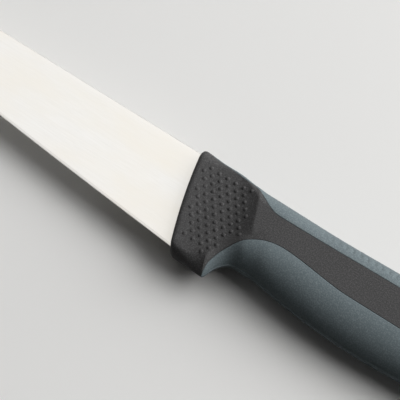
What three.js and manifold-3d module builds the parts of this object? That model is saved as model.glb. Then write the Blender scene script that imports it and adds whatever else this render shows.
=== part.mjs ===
// Meat knife with a two-shot moulded handle, lying on its side. Sizes in millimetres.
// Knife frame: X from tip to butt, 0 at the nose. Y towards the spine, 0 at the blade's spine. Z across.

import * as THREE from "three";
import { mergeVertices } from "three/addons/utils/BufferGeometryUtils.js";
import Module from "manifold-3d";

const wasm = await Module();
wasm.setup();

// Gaps
const MOULD_GAP = 0.3; // between pieces that are moulded onto each other

// Blade
const BLADE_LENGTH = 166; // nose to tip
const HEEL_DEPTH = 31; // spine to edge where the edge meets the handle
const HEEL_X = 10.6; // where the edge meets the handle
const EDGE_TAPER = 0.092; // rise of the edge for each millimetre towards the tip
const EDGE_SWEEP = 7; // further rise of the edge along its whole length
const EDGE_SWEEP_POWER = 3;
const TIP_SWEEP_POWER = 12; // last rise of the edge to the tip
const TIP_HEIGHT = 0.4; // blunt end of the tip
const SPINE_DROP = 3; // fall of the spine at the tip
const SPINE_DROP_RUN = 80; // length of the spine that falls
const SPINE_THICKNESS = 2.5; // at the handle
const TIP_THICKNESS = 1.1; // spine thickness next to the tip
const EDGE_THICKNESS = 0.44; // at the top of the sharpened bevel
const BEVEL_HEIGHT = 1.3; // sharpened bevel
const BEVEL_SHARE = 0.5; // most of the blade's height that the bevel takes at the tip
const BLADE_SEAT_TOP = 2.6; // how far the spine goes into the nose
const BLADE_SEAT_HEEL = 3.5; // how far the edge goes into the guard

// Tang
const TANG_TOP_DEPTH = 8; // spine to the tang's upper edge
const TANG_WIDTH = 9.5;
const TANG_LEAD = 1.3; // from the handle's front to where the tang is full thickness
const TANG_BUTT_MARGIN = 28; // from the tang's end to the butt
const TANG_HOLE_DIAMETER = 5;
const TANG_HOLE_PITCH = 22;

// Handle outline
const HANDLE_LENGTH = 132; // nose to butt
const FRONT_SLANT = 11.6; // how far the guard's front stands behind the nose
const FRONT_BOW = 0.8; // forward bow of the slanted front
const FRONT_ROUND = 1.4; // edge radius of the front
const NOSE_RISE = 1.7; // nose above the blade's spine
const NOSE_RUN = 26; // length of that rise
const SWAY_X = 48; // low point of the handle's spine
const SWAY_DEPTH = 0.05;
const HUMP_X = 84; // high point of the handle's spine
const HUMP_RISE = 0.8;
const BUTT_DROP = 1.5; // fall of the handle's spine at the butt
const GUARD_FRONT_DEPTH = 33.1; // spine to the guard's underside at the front
const GUARD_DEPTH = 34.1; // spine to the guard's tip
const GUARD_TIP_X = 24.2;
const GUARD_BACK_RUN = 1.4; // from the guard's tip to the middle of its steep back
const GUARD_BACK_DEPTH = 30;
const GUARD_BACK_SLOPE = 2.2; // rise for each millimetre towards the butt
const NOTCH_X = 33; // top of the finger notch
const NOTCH_DEPTH = 25.4;
const BELLY_ENTRY_X = 38; // where the notch runs into the belly
const BELLY_ENTRY_DEPTH = 25.5;
const BELLY_ENTRY_SLOPE = 0.19;
const BELLY_X = 76; // deepest place of the belly
const BELLY_DEPTH = 29;
const WAIST_TO_BUTT = 27; // narrow place in front of the butt
const WAIST_DEPTH = 27.9;
const HOOK_TO_BUTT = 10; // hook of the butt
const HOOK_DEPTH = 29.2;
const UPRIGHT_TO_BUTT = 37; // sections stand upright from here to the butt

// Handle sections
const HANDLE_THICKNESS = 18; // across the flat side inlays
const PANEL_THICKNESS = 14.8; // across the thumb panels
const PANEL_REAR = 35; // rear rim of the thumb panel, at the belly
const COVE_LENGTH = 12; // rising rear wall of the thumb panel
const COVE_POWER = 4; // how late that wall rises
const SHOULDER_FRONT = 6; // depth of the rounded spine at the nose
const SHOULDER_REAR = 7.8; // depth of the rounded spine at the grip
const GUARD_ROUND = 2.2; // depth of the guard's rounded underside
const GUARD_FLAT_TO = 16; // the guard's underside is even up to here
const GUARD_TAPER = 0.38; // share of its thickness that the guard loses down to its underside
const TIP_TAPER = 0.3; // the same at the guard's tip
const TIP_ROUND = 5.5; // the same at the guard's tip
const TIP_RUN = 6; // length behind the guard's tip over which the section becomes oval
const BELLY_ROUND = 11; // depth of the rounded belly
const BELLY_ROUND_FROM = 50; // the belly is fully round from here
const SHOULDER_POWER = 1.8; // 2 is an ellipse, less is a flatter slope
const GUARD_POWER = 2; // the same for the guard's underside
const TIP_POWER = 1.6; // the same for the guard's tip
const BELLY_POWER = 2; // the same for the belly
const BUTT_RUN = 9; // length of the rounded butt
const BUTT_CORNER = 9; // corner radius of the butt seen from the side

// Nubs of the thumb panels
const NUB_X = 5.53; // one nub, from which the staggered rows are counted
const NUB_DEPTH = 6.6;
const NUB_PITCH = 3;
const NUB_ROW = 2.04; // from row to row
const NUB_SHIFT = 1.65; // how far each row stands behind the one above
const NUB_DIAMETER = 1.5;
const NUB_CROWN = 0.8; // diameter at its top
const NUB_HEIGHT = 0.45;
const NUB_ROOT = 0.4; // how deep it is rooted in the panel
const NUB_FROM_FRONT = 3.1; // margins of the field of nubs
const NUB_FROM_REAR = 3.6;
const NUB_FROM_SPINE = 4.5;
const NUB_FROM_FOOT = 4.8;
const NUB_FROM_GRIP = 2.3;

// Soft grips
const GRIP_THICKNESS = 3;
const STRIP_FRONT = 3.8; // front end of the spine strip
const STRIP_LIP = 1.25; // depth of the strip's lower line beside the thumb panel
const STRIP_SWEEP_FROM = 20; // the strip starts to widen
const STRIP_SWEEP_TO = 33.8; // the strip has its full depth
const STRIP_DEPTH = 7.5;
const STRIP_REAR_DEPTH = 6.6; // depth of its lower line at the hump of the spine
const STRIP_END_RUN = 9; // rounded rear end of the strip
const STRIP_TO_BUTT = 14;
const GRIP_ARC_X = 41.6; // oval of the belly grip's upper line round the finger notch
const GRIP_ARC_DEPTH = 32;
const GRIP_ARC_REACH = 17.4; // from its middle towards the guard
const GRIP_ARC_RISE = 16.1; // from its middle towards the spine
const GRIP_TIP_X = 24.2; // the grip's lower end behind the guard
const GRIP_LINE_FROM = 67; // the upper line runs level from here
const GRIP_LINE_DEPTH = 18.1;
const GRIP_END_RUN = 16; // rounded rear end of the belly grip
const GRIP_TO_BUTT = 16;
const BRIDGE_DIAMETER = 3.4; // soft bridges through the core
const BRIDGE_DEPTH = 21.3;
const BRIDGE_FROM = 50;
const BRIDGE_PITCH = 14;
const STUD_DIAMETER = 3.2; // soft studs in sockets of the core
const STUD_TIP_DEPTH = 6.4;
const STUD_FROM = 44;
const STUD_PITCH = 16;

// Fineness of the faceted surfaces
const STEP_FINE = 0.5;
const STEP_MIDDLE = 2.6;
const STEP_COARSE = 5;
const SHOULDER_FACETS = 5;
const FLAT_FACETS = 2;
const BELLY_FACETS = 7;
const BLADE_FACETS = 36;
const ROUND_FACETS = 12;
const CURVE_STEP = 1.5;
const ARC_FACETS = 9;
const EDGE_FACETS = 3;
const BUTT_FACETS = 7;
const NUB_FACETS = 6;
const ROUND_SHARE = 0.96; // most of a section's depth that its rounded ends take
const LEAST_HALF = 0.1; // thinnest half of a shrunk section
const LEAST_ROUND = 0.2; // least rounding of a shrunk section
const SEARCH_STEPS = 24;

// Places worked out from the sizes above
const HALF_THICKNESS = HANDLE_THICKNESS / 2;
const HALF_PANEL = PANEL_THICKNESS / 2;
const TIP_X = -BLADE_LENGTH;
const BUTT_FROM = HANDLE_LENGTH - BUTT_RUN;
const CUT_WIDTH = 2 * HANDLE_THICKNESS; // cuts right through the handle
const QUARTER = Math.PI / 2;

// Curves

function spread(from, to, step) {
  const count = Math.max(1, Math.ceil((to - from) / step));
  return Array.from({ length: count + 1 }, (_, i) => from + ((to - from) * i) / count);
}

function ease(value) {
  const t = THREE.MathUtils.clamp(value, 0, 1);
  return t * t * (3 - 2 * t);
}

// A parabola from 0 over 1 in the middle back to 0.
function arch(share) {
  return 4 * share * (1 - share);
}

// A smooth curve through knots of place, value and slope, level beyond its ends.
function curve(knots) {
  return (x) => {
    if (x <= knots[0][0]) return knots[0][1];
    const next = knots.findIndex((knot) => knot[0] > x);
    if (next < 0) return knots[knots.length - 1][1];
    const [x0, y0, s0] = knots[next - 1];
    const [x1, y1, s1] = knots[next];
    const run = x1 - x0;
    const t = (x - x0) / run;
    const rise = ease(t);
    const bend0 = t * (1 - t) * (1 - t) * run * s0;
    const bend1 = t * t * (t - 1) * run * s1;
    return y0 + (y1 - y0) * rise + bend0 + bend1;
  };
}

const spineLine = curve([
  [0, NOSE_RISE, 0],
  [NOSE_RUN, 0, 0],
  [SWAY_X, -SWAY_DEPTH, 0],
  [HUMP_X, HUMP_RISE, 0],
  [HANDLE_LENGTH, -BUTT_DROP, 0],
]);

const bellyLine = curve([
  [FRONT_SLANT, -GUARD_FRONT_DEPTH, 0],
  [GUARD_TIP_X, -GUARD_DEPTH, 0],
  [GUARD_TIP_X + GUARD_BACK_RUN, -GUARD_BACK_DEPTH, GUARD_BACK_SLOPE],
  [NOTCH_X, -NOTCH_DEPTH, 0],
  [BELLY_ENTRY_X, -BELLY_ENTRY_DEPTH, -BELLY_ENTRY_SLOPE],
  [BELLY_X, -BELLY_DEPTH, 0],
  [HANDLE_LENGTH - WAIST_TO_BUTT, -WAIST_DEPTH, 0],
  [HANDLE_LENGTH - HOOK_TO_BUTT, -HOOK_DEPTH, 0],
]);

const slantAt = curve([
  [PANEL_REAR, FRONT_SLANT, 0],
  [HANDLE_LENGTH - UPRIGHT_TO_BUTT, 0, 0],
]);

const shoulderAt = curve([
  [FRONT_SLANT, SHOULDER_FRONT, 0],
  [PANEL_REAR, SHOULDER_REAR, 0],
]);

const undersideAt = curve([
  [GUARD_FLAT_TO, GUARD_ROUND, 0],
  [GUARD_TIP_X, TIP_ROUND, 0],
  [BELLY_ROUND_FROM, BELLY_ROUND, 0],
]);

const undersidePowerAt = curve([
  [GUARD_FLAT_TO, GUARD_POWER, 0],
  [GUARD_TIP_X, TIP_POWER, 0],
  [GUARD_TIP_X + TIP_RUN, BELLY_POWER, 0],
]);

const taperAt = curve([
  [GUARD_FLAT_TO, GUARD_TAPER, 0],
  [GUARD_TIP_X, TIP_TAPER, 0],
  [NOTCH_X, 0, 0],
]);

// Share of its thickness that a section keeps at a share of its depth.
function thinnedAt(foot, share) {
  return 1 - taperAt(foot) * share * share;
}

// Half thickness of the side face of the section whose foot is at x.
function sideAt(x) {
  const rise = THREE.MathUtils.clamp((x - PANEL_REAR + COVE_LENGTH) / COVE_LENGTH, 0, 1);
  return HALF_PANEL + (HALF_THICKNESS - HALF_PANEL) * rise ** COVE_POWER;
}

// Forward bow of the section whose foot is at x.
function bowAt(x) {
  return FRONT_BOW * (1 - ease((x - FRONT_SLANT) / (PANEL_REAR - FRONT_SLANT)));
}

// Upper and lower end of the section whose foot is at x.
function sectionEnds(x) {
  const topX = x - slantAt(x);
  return [new THREE.Vector2(topX, spineLine(topX)), new THREE.Vector2(x, bellyLine(x))];
}

// Solids

function solidOf(geometry) {
  const bare = geometry.clone();
  bare.deleteAttribute("normal");
  bare.deleteAttribute("uv");
  const welded = mergeVertices(bare, 1e-5);
  const data = {
    numProp: 3,
    vertProperties: Float32Array.from(welded.attributes.position.array),
    triVerts: Uint32Array.from(welded.index.array),
  };
  return new wasm.Manifold(new wasm.Mesh(data));
}

function meshOf(name, solid, material) {
  const data = solid.getMesh();
  const geometry = new THREE.BufferGeometry();
  geometry.setAttribute("position", new THREE.BufferAttribute(data.vertProperties, 3));
  geometry.setIndex(new THREE.BufferAttribute(data.triVerts, 1));
  geometry.computeVertexNormals();
  const mesh = new THREE.Mesh(geometry, material);
  mesh.name = name;
  return mesh;
}

// Joins rings of the same number of points into a closed loft. Each ring starts at its top, runs down the
// +Z side to its foot and back up the -Z side, so the ends are closed straight across.
function loft(rings) {
  const count = rings[0].length;
  const half = count / 2;
  const faces = [];
  const quad = (a, b, c, d) => faces.push(a, b, c, a, c, d);
  for (let r = 0; r + 1 < rings.length; r += 1) {
    for (let i = 0; i < count; i += 1) {
      const near = r * count;
      const far = near + count;
      const next = (i + 1) % count;
      quad(near + i, near + next, far + next, far + i);
    }
  }
  const last = (rings.length - 1) * count;
  for (let i = 0; i < half; i += 1) {
    const mirror = (count - i) % count;
    const below = count - i - 1;
    if (i > 0) faces.push(i, mirror, i + 1, last + i, last + i + 1, last + mirror);
    if (i + 1 < half) faces.push(mirror, below, i + 1, last + mirror, last + i + 1, last + below);
  }
  const geometry = new THREE.BufferGeometry();
  geometry.setAttribute("position", new THREE.Float32BufferAttribute(rings.flat(2), 3));
  geometry.setIndex(faces);
  return solidOf(geometry);
}

function prism(points, thickness) {
  const options = { depth: thickness, bevelEnabled: false };
  const geometry = new THREE.ExtrudeGeometry(new THREE.Shape(points), options);
  return solidOf(geometry.translate(0, 0, -thickness / 2));
}

function acrossPin(x, y, diameter, length) {
  const pin = new THREE.CylinderGeometry(diameter / 2, diameter / 2, length, ROUND_FACETS);
  return solidOf(pin.rotateX(QUARTER).translate(x, y, 0));
}

function uprightPin(x, top, foot, diameter) {
  const pin = new THREE.CylinderGeometry(diameter / 2, diameter / 2, top - foot, ROUND_FACETS);
  return solidOf(pin.translate(x, (top + foot) / 2, 0));
}

function joined(solids) {
  return solids.reduce((whole, solid) => whole.add(solid));
}

// Handle body

// One section ring of the handle, shrunk on all sides by the inset.
function sectionRing(foot, inset, closing) {
  const [top, bottom] = sectionEnds(foot);
  const along = bottom.clone().sub(top).normalize();
  const corner = inset + BUTT_CORNER * (1 - closing);
  top.addScaledVector(along, corner);
  bottom.addScaledVector(along, -corner);
  const depth = top.distanceTo(bottom);
  const side = Math.max(sideAt(foot) * closing - inset, LEAST_HALF);
  const wanted = shoulderAt(foot) + undersideAt(foot) - 2 * inset;
  const fit = Math.min(1, (ROUND_SHARE * depth) / wanted);
  const shoulder = Math.max((shoulderAt(foot) - inset) * fit, LEAST_ROUND);
  const underside = Math.max((undersideAt(foot) - inset) * fit, LEAST_ROUND);

  const profile = [];
  for (let i = 0; i < SHOULDER_FACETS; i += 1) {
    const angle = (i / SHOULDER_FACETS) * QUARTER;
    const power = 2 / SHOULDER_POWER;
    profile.push([shoulder * (1 - Math.cos(angle) ** power), side * Math.sin(angle) ** power]);
  }
  for (let i = 0; i < FLAT_FACETS; i += 1) {
    profile.push([shoulder + ((depth - underside - shoulder) * i) / FLAT_FACETS, side]);
  }
  for (let i = 0; i <= BELLY_FACETS; i += 1) {
    const angle = (i / BELLY_FACETS) * QUARTER;
    const power = 2 / undersidePowerAt(foot);
    profile.push([depth - underside * (1 - Math.sin(angle) ** power), side * Math.cos(angle) ** power]);
  }
  profile[0][1] = 0;
  profile[profile.length - 1][1] = 0;

  const place = ([down, out], sign) => {
    const share = down / depth;
    const point = top.clone().addScaledVector(along, down);
    return [point.x - bowAt(foot) * arch(share), point.y, sign * out * thinnedAt(foot, share)];
  };
  const front = profile.map((item) => place(item, 1));
  const back = profile.slice(1, -1).reverse().map((item) => place(item, -1));
  return [...front, ...back];
}

function bodyFeet() {
  const back = GUARD_TIP_X + 2 * GUARD_BACK_RUN;
  return [
    ...spread(FRONT_SLANT + FRONT_ROUND, GUARD_TIP_X, STEP_MIDDLE),
    ...spread(GUARD_TIP_X, back, STEP_FINE).slice(1),
    ...spread(back, PANEL_REAR, STEP_MIDDLE / 2).slice(1),
    ...spread(PANEL_REAR, BELLY_ROUND_FROM, STEP_MIDDLE).slice(1),
    ...spread(BELLY_ROUND_FROM, BUTT_FROM, STEP_COARSE).slice(1),
  ];
}

function handleBody() {
  const front = spread(0, QUARTER, QUARTER / EDGE_FACETS).slice(0, -1).map((angle) => {
    const foot = FRONT_SLANT + FRONT_ROUND * (1 - Math.cos(angle));
    return sectionRing(foot, FRONT_ROUND * (1 - Math.sin(angle)), 1);
  });
  const middle = bodyFeet().map((foot) => sectionRing(foot, 0, 1));
  const butt = spread(0, QUARTER, QUARTER / BUTT_FACETS).slice(1, -1).map((angle) => {
    return sectionRing(BUTT_FROM + BUTT_RUN * Math.sin(angle), 0, Math.cos(angle));
  });
  return loft([...front, ...middle, ...butt]);
}

// The body shrunk on all sides, from behind the guard to the butt.
function innerBody(inset) {
  const feet = [
    ...spread(GUARD_TIP_X + GUARD_BACK_RUN, PANEL_REAR, STEP_MIDDLE),
    ...spread(PANEL_REAR, BUTT_FROM, STEP_COARSE).slice(1),
  ];
  return loft(feet.map((foot) => sectionRing(foot, inset, 1)));
}

// Zones of the soft grips, seen from the side and cut straight through

const stripSweep = curve([
  [STRIP_FRONT, NOSE_RISE - STRIP_LIP, 0],
  [STRIP_SWEEP_FROM, -STRIP_LIP, 0],
  [STRIP_SWEEP_TO, -STRIP_DEPTH, 0],
  [HUMP_X, -STRIP_REAR_DEPTH, 0],
  [HANDLE_LENGTH - STRIP_TO_BUTT, -STRIP_DEPTH, 0],
]);

function stripLine(x) {
  const left = (HANDLE_LENGTH - STRIP_TO_BUTT - x) / STRIP_END_RUN;
  const open = 1 - THREE.MathUtils.clamp(left, 0, 1);
  return spineLine(x) + (stripSweep(x) - spineLine(x)) * Math.sqrt(1 - open * open);
}

function stripZone(grow) {
  const end = HANDLE_LENGTH - STRIP_TO_BUTT;
  const above = NOSE_RISE + GRIP_THICKNESS;
  const line = [
    ...spread(STRIP_FRONT, STRIP_SWEEP_FROM, STEP_COARSE),
    ...spread(STRIP_SWEEP_FROM, STRIP_SWEEP_TO, CURVE_STEP).slice(1),
    ...spread(STRIP_SWEEP_TO, end - STRIP_END_RUN, STEP_COARSE).slice(1),
    ...spread(end - STRIP_END_RUN, end, CURVE_STEP).slice(1),
  ];
  const lower = line.map((x) => new THREE.Vector2(x, stripLine(x) - grow));
  lower[0].x -= grow;
  lower[lower.length - 1].x += grow;
  const first = new THREE.Vector2(STRIP_FRONT - grow, above);
  const last = new THREE.Vector2(end + grow, above);
  return prism([first, ...lower, last], CUT_WIDTH);
}

function gripZone(grow) {
  const below = -GUARD_DEPTH - GRIP_THICKNESS;
  const end = HANDLE_LENGTH - GRIP_TO_BUTT + grow;
  const arcTop = -GRIP_ARC_DEPTH + GRIP_ARC_RISE + grow;
  const level = -GRIP_LINE_DEPTH + grow;
  const arc = spread(0, QUARTER, QUARTER / ARC_FACETS).map((angle) => {
    const x = GRIP_ARC_X - (GRIP_ARC_REACH + grow) * Math.cos(angle);
    return new THREE.Vector2(x, -GRIP_ARC_DEPTH + (GRIP_ARC_RISE + grow) * Math.sin(angle));
  });
  const fall = spread(GRIP_ARC_X, GRIP_LINE_FROM, STEP_COARSE / 2).slice(1).map((x) => {
    const share = ease((x - GRIP_ARC_X) / (GRIP_LINE_FROM - GRIP_ARC_X));
    return new THREE.Vector2(x, arcTop + (level - arcTop) * share);
  });
  const close = spread(0, QUARTER, QUARTER / ARC_FACETS).map((angle) => {
    const x = end - GRIP_END_RUN + GRIP_END_RUN * Math.sin(angle);
    return new THREE.Vector2(x, below + (level - below) * Math.cos(angle));
  });
  const tip = new THREE.Vector2(GRIP_TIP_X - grow, -GUARD_DEPTH - MOULD_GAP);
  const corner = new THREE.Vector2(GRIP_TIP_X - grow, below);
  return prism([corner, tip, ...arc, ...fall, ...close], CUT_WIDTH);
}

// Nubs

// The section that runs through a place of the side face: its foot, and the place's share of its depth.
function sectionThrough(x, y) {
  let foot = x;
  let share = 0;
  for (let i = 0; i < SEARCH_STEPS; i += 1) {
    const [top, bottom] = sectionEnds(foot);
    share = (top.y - y) / (top.y - bottom.y);
    const there = top.x + (bottom.x - top.x) * share - bowAt(foot) * arch(share);
    foot += (x - there) / 2;
  }
  return [foot, share];
}

// Half thickness of a section at a share of its depth.
function halfAt(foot, share) {
  const [top, bottom] = sectionEnds(foot);
  const depth = top.distanceTo(bottom);
  const above = Math.max(1 - (depth * share) / shoulderAt(foot), 0);
  const below = Math.max(1 - (depth * (1 - share)) / undersideAt(foot), 0);
  const power = undersidePowerAt(foot);
  const rounded = (1 - above ** SHOULDER_POWER) ** (1 / SHOULDER_POWER);
  return sideAt(foot) * thinnedAt(foot, share) * rounded * (1 - below ** power) ** (1 / power);
}

function nubPlaces() {
  const places = [];
  const rows = Math.ceil(GUARD_DEPTH / NUB_ROW);
  const columns = Math.ceil(PANEL_REAR / NUB_PITCH);
  for (let row = -1; row < rows; row += 1) {
    const y = -NUB_DEPTH - row * NUB_ROW;
    const first = (NUB_X + row * NUB_SHIFT) % NUB_PITCH;
    for (let column = 0; column < columns; column += 1) {
      const x = first + column * NUB_PITCH;
      const [foot, share] = sectionThrough(x, y);
      const [top, bottom] = sectionEnds(foot);
      const inLength = foot > FRONT_SLANT + NUB_FROM_FRONT && foot < PANEL_REAR - NUB_FROM_REAR;
      const inDepth = y < top.y - NUB_FROM_SPINE && y > bottom.y + NUB_FROM_FOOT;
      const overX = (x - GRIP_ARC_X) / (GRIP_ARC_REACH + NUB_FROM_GRIP);
      const overY = (y + GRIP_ARC_DEPTH) / (GRIP_ARC_RISE + NUB_FROM_GRIP);
      if (!inLength || !inDepth || Math.hypot(overX, overY) < 1) continue;
      places.push([x, y, halfAt(foot, share)]);
    }
  }
  return places;
}

function makeNubs() {
  const length = NUB_ROOT + NUB_HEIGHT;
  const both = nubPlaces().flatMap(([x, y, side]) => [[x, y, side, 1], [x, y, side, -1]]);
  return both.map(([x, y, side, sign]) => {
    const nub = new THREE.CylinderGeometry(NUB_CROWN / 2, NUB_DIAMETER / 2, length, NUB_FACETS);
    return solidOf(nub.rotateX(sign * QUARTER).translate(x, y, sign * (side - NUB_ROOT + length / 2)));
  });
}

// Blade

function bladeSpineAt(x) {
  const share = THREE.MathUtils.clamp((x - TIP_X) / SPINE_DROP_RUN, 0, 1);
  return -SPINE_DROP * (1 - share) ** 2;
}

function bladeEdgeAt(x) {
  const length = HEEL_X - TIP_X;
  const share = Math.max((HEEL_X - x) / length, 0);
  const tipRise = HEEL_DEPTH - EDGE_TAPER * length - EDGE_SWEEP - SPINE_DROP;
  const sweep = EDGE_SWEEP * share ** EDGE_SWEEP_POWER + tipRise * share ** TIP_SWEEP_POWER;
  return -HEEL_DEPTH + EDGE_TAPER * (HEEL_X - x) + sweep;
}

// The ground wedge from the tip to its seat in the handle, grown on all sides for the slot that holds it.
function bladeWedge(grow) {
  const topFrom = BLADE_SEAT_TOP + grow;
  const footFrom = HEEL_X + BLADE_SEAT_HEEL + grow;
  const rings = spread(1, 0, -1 / BLADE_FACETS).map((share) => {
    const topX = topFrom + (TIP_X - topFrom) * share;
    const footX = footFrom + (TIP_X - footFrom) * share;
    const topY = bladeSpineAt(topX) + grow;
    const footY = bladeEdgeAt(footX) - grow;
    const height = Math.max(topY - footY, TIP_HEIGHT);
    const bevel = Math.min(BEVEL_HEIGHT / height, BEVEL_SHARE);
    const shoulderX = footX + (topX - footX) * bevel;
    const shoulderY = topY - height * (1 - bevel);
    const spine = (SPINE_THICKNESS + (TIP_THICKNESS - SPINE_THICKNESS) * share) / 2 + grow;
    const shoulder = EDGE_THICKNESS / 2 + grow;
    return [
      [topX, topY, 0],
      [topX, topY, spine],
      [shoulderX, shoulderY, shoulder],
      [footX, topY - height, 0],
      [shoulderX, shoulderY, -shoulder],
      [topX, topY, -spine],
    ];
  });
  return loft(rings);
}

function tangHoles() {
  const end = HANDLE_LENGTH - TANG_BUTT_MARGIN - TANG_WIDTH;
  const count = Math.floor((end - FRONT_SLANT) / TANG_HOLE_PITCH);
  return Array.from({ length: count }, (_, i) => end - i * TANG_HOLE_PITCH);
}

function tangPlate(grow) {
  const top = -TANG_TOP_DEPTH + grow;
  const foot = -TANG_TOP_DEPTH - TANG_WIDTH - grow;
  const end = HANDLE_LENGTH - TANG_BUTT_MARGIN;
  const radius = TANG_WIDTH / 2 + grow;
  const lean = FRONT_SLANT / GUARD_FRONT_DEPTH;
  const shape = new THREE.Shape();
  shape.moveTo(TANG_LEAD - lean * top - grow, top);
  shape.lineTo(TANG_LEAD - lean * foot - grow, foot);
  shape.lineTo(end - radius, foot);
  shape.absarc(end - radius, (top + foot) / 2, radius, -QUARTER, QUARTER, false);
  shape.closePath();
  const thickness = SPINE_THICKNESS + 2 * grow;
  const options = { depth: thickness, bevelEnabled: false, curveSegments: ROUND_FACETS / 2 };
  const plate = new THREE.ExtrudeGeometry(shape, options).translate(0, 0, -thickness / 2);
  const middle = -TANG_TOP_DEPTH - TANG_WIDTH / 2;
  const holes = tangHoles().map((x) => {
    return acrossPin(x, middle, TANG_HOLE_DIAMETER - 2 * grow, HANDLE_THICKNESS);
  });
  return solidOf(plate).subtract(joined(holes));
}

function makeBlade() {
  return bladeWedge(0).add(tangPlate(0));
}

// Soft pieces and the core

function bridges(diameter, length) {
  const to = HANDLE_LENGTH - GRIP_TO_BUTT - GRIP_END_RUN;
  const count = Math.floor((to - BRIDGE_FROM) / BRIDGE_PITCH) + 1;
  return Array.from({ length: count }, (_, i) => {
    return acrossPin(BRIDGE_FROM + i * BRIDGE_PITCH, -BRIDGE_DEPTH, diameter, length);
  });
}

function studs(diameter, tipDepth) {
  const to = HANDLE_LENGTH - STRIP_TO_BUTT - STRIP_END_RUN;
  const count = Math.floor((to - STUD_FROM) / STUD_PITCH) + 1;
  return Array.from({ length: count }, (_, i) => {
    return uprightPin(STUD_FROM + i * STUD_PITCH, -GRIP_THICKNESS / 2, -tipDepth, diameter);
  });
}

function makeBellyGrip(body) {
  const skin = body.intersect(gripZone(0)).subtract(innerBody(GRIP_THICKNESS - MOULD_GAP));
  return skin.add(joined(bridges(BRIDGE_DIAMETER, HANDLE_THICKNESS - GRIP_THICKNESS)));
}

function makeSpineStrip(body) {
  const skin = body.intersect(stripZone(0)).subtract(innerBody(GRIP_THICKNESS - MOULD_GAP));
  return skin.add(joined(studs(STUD_DIAMETER, STUD_TIP_DEPTH)));
}

function makeCore(body) {
  const shell = body.subtract(gripZone(MOULD_GAP)).subtract(stripZone(MOULD_GAP));
  const slot = bladeWedge(MOULD_GAP).add(tangPlate(MOULD_GAP));
  const holes = bridges(BRIDGE_DIAMETER + 2 * MOULD_GAP, HANDLE_THICKNESS);
  const sockets = studs(STUD_DIAMETER + 2 * MOULD_GAP, STUD_TIP_DEPTH + MOULD_GAP);
  const full = shell.add(innerBody(GRIP_THICKNESS)).add(joined(makeNubs()));
  return full.subtract(slot).subtract(joined([...holes, ...sockets]));
}

// Assembly

const steel = new THREE.MeshStandardMaterial({ color: 0xdcdad5, metalness: 1, roughness: 0.34 });
const plastic = new THREE.MeshStandardMaterial({ color: 0x262627, metalness: 0, roughness: 0.55 });
const rubber = new THREE.MeshStandardMaterial({ color: 0x59646a, metalness: 0, roughness: 0.7 });

const body = handleBody();
const knife = new THREE.Group();
knife.name = "knife";
knife.add(meshOf("blade", makeBlade(), steel));
knife.add(meshOf("handle_core", makeCore(body), plastic));
knife.add(meshOf("belly_grip", makeBellyGrip(body), rubber));
knife.add(meshOf("spine_strip", makeSpineStrip(body), rubber));

// The knife lies on its flat side, centred over the origin.
const bounds = new THREE.Box3().setFromObject(knife);
const centre = bounds.getCenter(new THREE.Vector3());
knife.position.set(-centre.x, -centre.y, -bounds.min.z);

const part = new THREE.Group();
part.name = "meat_knife";
part.add(knife);

export default part;
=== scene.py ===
"""Looks of a meat knife with a two-shot moulded handle, lying on its side.

Sizes are in millimetres in the knife's own frame: X from tip to butt with 0 at the nose, Y towards the spine
with 0 at the blade's spine, Z across with 0 at the middle plane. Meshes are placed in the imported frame, in
metres.
"""

import logging
import math
from dataclasses import dataclass
from enum import Enum
from typing import Any, Callable, Sequence

import bmesh
import bpy
import numpy as np
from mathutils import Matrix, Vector


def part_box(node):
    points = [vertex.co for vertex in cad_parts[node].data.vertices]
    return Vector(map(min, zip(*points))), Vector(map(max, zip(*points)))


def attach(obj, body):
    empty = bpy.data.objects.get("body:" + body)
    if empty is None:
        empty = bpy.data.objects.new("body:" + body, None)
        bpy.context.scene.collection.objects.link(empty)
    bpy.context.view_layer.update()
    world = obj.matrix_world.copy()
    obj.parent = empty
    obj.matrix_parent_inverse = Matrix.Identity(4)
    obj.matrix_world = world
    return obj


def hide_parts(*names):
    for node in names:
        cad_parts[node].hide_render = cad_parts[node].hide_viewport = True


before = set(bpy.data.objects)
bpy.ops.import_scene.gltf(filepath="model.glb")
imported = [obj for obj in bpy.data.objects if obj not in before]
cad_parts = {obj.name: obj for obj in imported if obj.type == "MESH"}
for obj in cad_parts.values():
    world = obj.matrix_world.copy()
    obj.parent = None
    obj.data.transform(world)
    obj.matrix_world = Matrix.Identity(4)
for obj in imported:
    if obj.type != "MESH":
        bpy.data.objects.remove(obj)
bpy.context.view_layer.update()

Array = np.ndarray
Values = np.ndarray | float
Colour = tuple[float, float, float, float]
Triple = tuple[float, float, float]
Stops = Sequence[tuple[float, float]]
Face = tuple[int, ...]

MM = 0.001
BODY = "root"
IMAGE_WIDTH = 400
QUARTER = math.pi / 2
NOISE_MEAN = 0.5
MIX_FACTOR, MIX_FIRST, MIX_SECOND, MIX_RESULT = 0, 6, 7, 2  # sockets of a Mix node for colours
SHOULDER_TURN = 1.0  # turn at the end of a section's shoulder
UNDERSIDE_TURN = 2.0  # turn at which its underside starts
FOOT_TURN = 3.0  # turn of its foot
FINE_TURNS = 901  # turns at which a section is measured
NEAR = 0.01  # step to a close neighbour, in turns or millimetres
HALVINGS = 46
FAR_BELOW = -1000.0  # height of a line that no section reaches
LEAST_SINE = 0.3  # of the flattest angle at which a line is taken to cross a section
TINY = 1e-9  # keeps a length of 0 from dividing
SAME_PLACE = 2e-6  # metres between vertices that are merged
SLIVER = 1e-7  # metres along an edge that is dropped

log = logging.getLogger("meat_knife")


class Slot(Enum):
    """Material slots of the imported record."""

    STEEL = "steel"
    CORE = "core"
    GRIP = "grip"


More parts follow.
